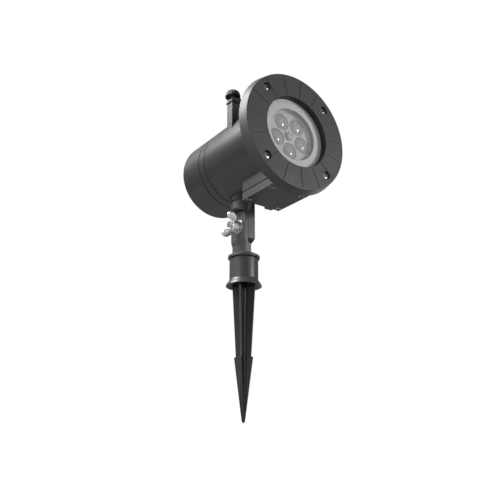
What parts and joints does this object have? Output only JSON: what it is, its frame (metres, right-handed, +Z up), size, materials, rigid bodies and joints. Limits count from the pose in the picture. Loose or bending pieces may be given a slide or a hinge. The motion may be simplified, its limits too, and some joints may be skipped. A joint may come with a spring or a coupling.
{
  "type": "light projector stake",
  "caption": "Round light projector head with a turning lens wheel and slide slot, on a tilting, swivelling knuckle and a ground spike.",
  "frame": {"origin": "on the stake axis at the underside of the collar's skirt, which is the ground line", "axes": "+Z up along the stake, -Y the way the projector looks, X along the tilt bolt"},
  "size_m": [0.1038, 0.1342, 0.2739],
  "materials": {
    "black_moulded": "satin black moulded plastic",
    "collar_plastic": "satin dark grey moulded plastic",
    "knuckle_plastic": "satin dark grey moulded plastic",
    "bright_steel": "zinc plated steel",
    "chrome_nut": "polished nickel plate",
    "zinc_screw": "zinc plated steel",
    "face_screw": "blackened steel with a bright cross recess",
    "housing_plastic": "satin dark grey moulded plastic",
    "bezel_plastic": "fine matt dark grey moulded plastic",
    "cap_plastic": "satin dark grey moulded plastic",
    "cover_plastic": "satin dark grey moulded plastic",
    "window_clear": "clear polycarbonate",
    "lens_clear": "clear moulded lens",
    "seal_rubber": "soft black silicone",
    "motor_metal": "zinc plated motor can",
    "white_plastic": "natural nylon",
    "inner_black": "dull black moulded plastic",
    "wheel_plastic": "frosted grey translucent plastic",
    "gear_plastic": "natural acetal",
    "board_white": "white lacquered aluminium board",
    "led_yellow": "phosphor gel",
    "sink_aluminium": "as cast",
    "board_green": "green solder mask",
    "component_mix": "wound transformer and capacitor",
    "slide_plastic": "matt black slide frame",
    "film_print": "printed film",
    "knob_black": "knurled black plastic"
  },
  "bodies": {
    "stake": {"ground_spike": "black_moulded", "spike_collar": "collar_plastic"},
    "stem_body": {"stem": "knuckle_plastic", "tilt_bolt": "bright_steel", "bolt_washer": "bright_steel"},
    "wing_nut_body": {"wing_nut": "chrome_nut"},
    "head": {"pivot_arm": "knuckle_plastic", "arm_screws": "zinc_screw", "main_housing": "housing_plastic", "bezel": "bezel_plastic", "bezel_screws": "face_screw", "front_window": "window_clear", "window_gasket": "seal_rubber", "motor_cover": "cover_plastic", "motor_cover_gasket": "seal_rubber", "motor_cover_screws": "face_screw", "gear_motor": "motor_metal", "motor_bracket": "white_plastic", "wheel_spider": "inner_black", "wheel_axle": "bright_steel", "slide_guide": "inner_black", "condenser_holder": "inner_black", "condenser_lens": "lens_clear", "collimator_lens": "lens_clear", "led_board": "board_white", "leds": "led_yellow", "heat_sink": "sink_aluminium", "board_screws": "zinc_screw", "seam_ring": "housing_plastic", "seal_rings": "seal_rubber", "driver_board": "board_green", "driver_parts": "component_mix", "rear_cap": "cap_plastic", "rear_cap_screws": "face_screw", "cable_gland": "black_moulded", "gland_nut": "black_moulded"},
    "lens_wheel_body": {"lens_wheel": "wheel_plastic", "wheel_lenses": "lens_clear", "wheel_cap": "wheel_plastic"},
    "pinion_body": {"motor_pinion": "gear_plastic"},
    "cover_body": {"slide_cover": "cover_plastic", "cover_gasket": "seal_rubber", "slide_frame": "slide_plastic", "pattern_film": "film_print"},
    "left_screw_body": {"left_thumb_screw": "knob_black"},
    "right_screw_body": {"right_thumb_screw": "knob_black"}
  },
  "joints": [
    {"name": "stem_swivel", "type": "hinge", "parent": "stake", "child": "stem_body", "pos_m": [0, 0, 0.017], "axis": [0, 0, 1], "range_deg": [-170, 170]},
    {"name": "head_tilt", "type": "hinge", "parent": "stem_body", "child": "head", "pos_m": [0.0008, 0, 0.052], "axis": [-1, 0, 0], "range_deg": [-60, 85]},
    {"name": "wing_nut_turn", "type": "hinge", "parent": "stem_body", "child": "wing_nut_body", "pos_m": [-0.009, 0, 0.052], "axis": [-1, 0, 0], "range_deg": [0, 360]},
    {"name": "lens_spin", "type": "hinge", "parent": "head", "child": "lens_wheel_body", "pos_m": [0, -0.0608, 0.1125], "axis": [0, 1, 0], "continuous": true},
    {"name": "pinion_spin", "type": "hinge", "parent": "head", "child": "pinion_body", "pos_m": [0, -0.0608, 0.07725], "axis": [0, 1, 0], "continuous": true},
    {"name": "cover_lift", "type": "slide", "parent": "head", "child": "cover_body", "axis": [0, 0, 1], "range_m": [0, 0.065]},
    {"name": "left_thumb_turn", "type": "hinge", "parent": "cover_body", "child": "left_screw_body", "pos_m": [-0.0302, -0.025, 0.15], "axis": [0, 0, 1], "range_deg": [0, 720]},
    {"name": "right_thumb_turn", "type": "hinge", "parent": "cover_body", "child": "right_screw_body", "pos_m": [0.0302, -0.025, 0.15], "axis": [0, 0, 1], "range_deg": [0, 720]}
  ],
  "couplings": [
    {"joint": "pinion_spin", "follows": "lens_spin", "ratio": -6}
  ]
}
